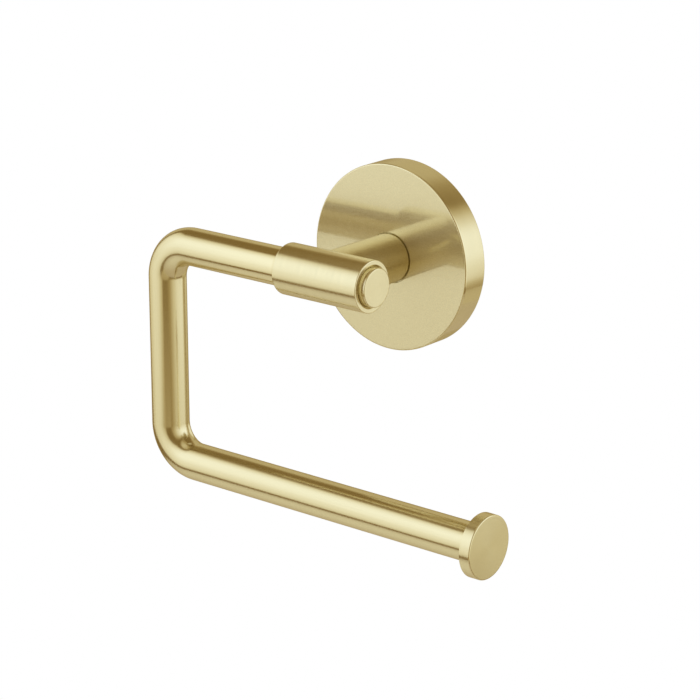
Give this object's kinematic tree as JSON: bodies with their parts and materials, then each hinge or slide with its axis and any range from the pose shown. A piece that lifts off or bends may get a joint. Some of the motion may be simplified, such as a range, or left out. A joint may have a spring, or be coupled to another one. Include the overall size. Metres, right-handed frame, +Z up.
{
  "type": "toilet paper holder",
  "caption": "Wall-mounted toilet paper holder: a round rosette and post carry a barrel in which a bent round bar swings, ending in a flat round cap.",
  "frame": {"origin": "centre of the rosette's wall face", "axes": "+X along the pivot axis, from the bend towards the open end of the bar; +Y into the wall; +Z up"},
  "size_m": [0.1326, 0.0479, 0.1101],
  "materials": {
    "rosette_brass": "fine satin with a smoother face",
    "post_brass": "satin, turned",
    "barrel_brass": "satin, brushed round",
    "bar_brass": "satin, brushed along the bar",
    "button_brass": "satin, faced",
    "cap_brass": "satin, faced, brushed round its rim",
    "bracket_zinc": "bright zinc die casting",
    "fixing_steel": "plain stainless steel",
    "bush_acetal": "natural acetal"
  },
  "bodies": {
    "wall_mount": {"cover_plate": "rosette_brass", "wall_bracket": "bracket_zinc", "plate_grub_screw": "fixing_steel", "post": "post_brass", "post_screw": "fixing_steel", "post_washer": "fixing_steel", "post_lock_washer": "fixing_steel", "antirotation_pin": "fixing_steel", "barrel": "barrel_brass", "bush_left": "bush_acetal", "bush_right": "bush_acetal", "thrust_washer_left": "bush_acetal", "thrust_washer_right": "bush_acetal"},
    "arm": {"arm_rod": "bar_brass", "pivot_button": "button_brass", "pivot_stud": "fixing_steel", "disc_spring": "fixing_steel", "end_cap": "cap_brass", "end_cap_stud": "fixing_steel"}
  },
  "joints": [
    {"name": "arm_pivot", "type": "hinge", "parent": "wall_mount", "child": "arm", "pos_m": [0, -0.038, 0], "axis": [-1, 0, 0], "range_deg": [-23, 203]}
  ]
}
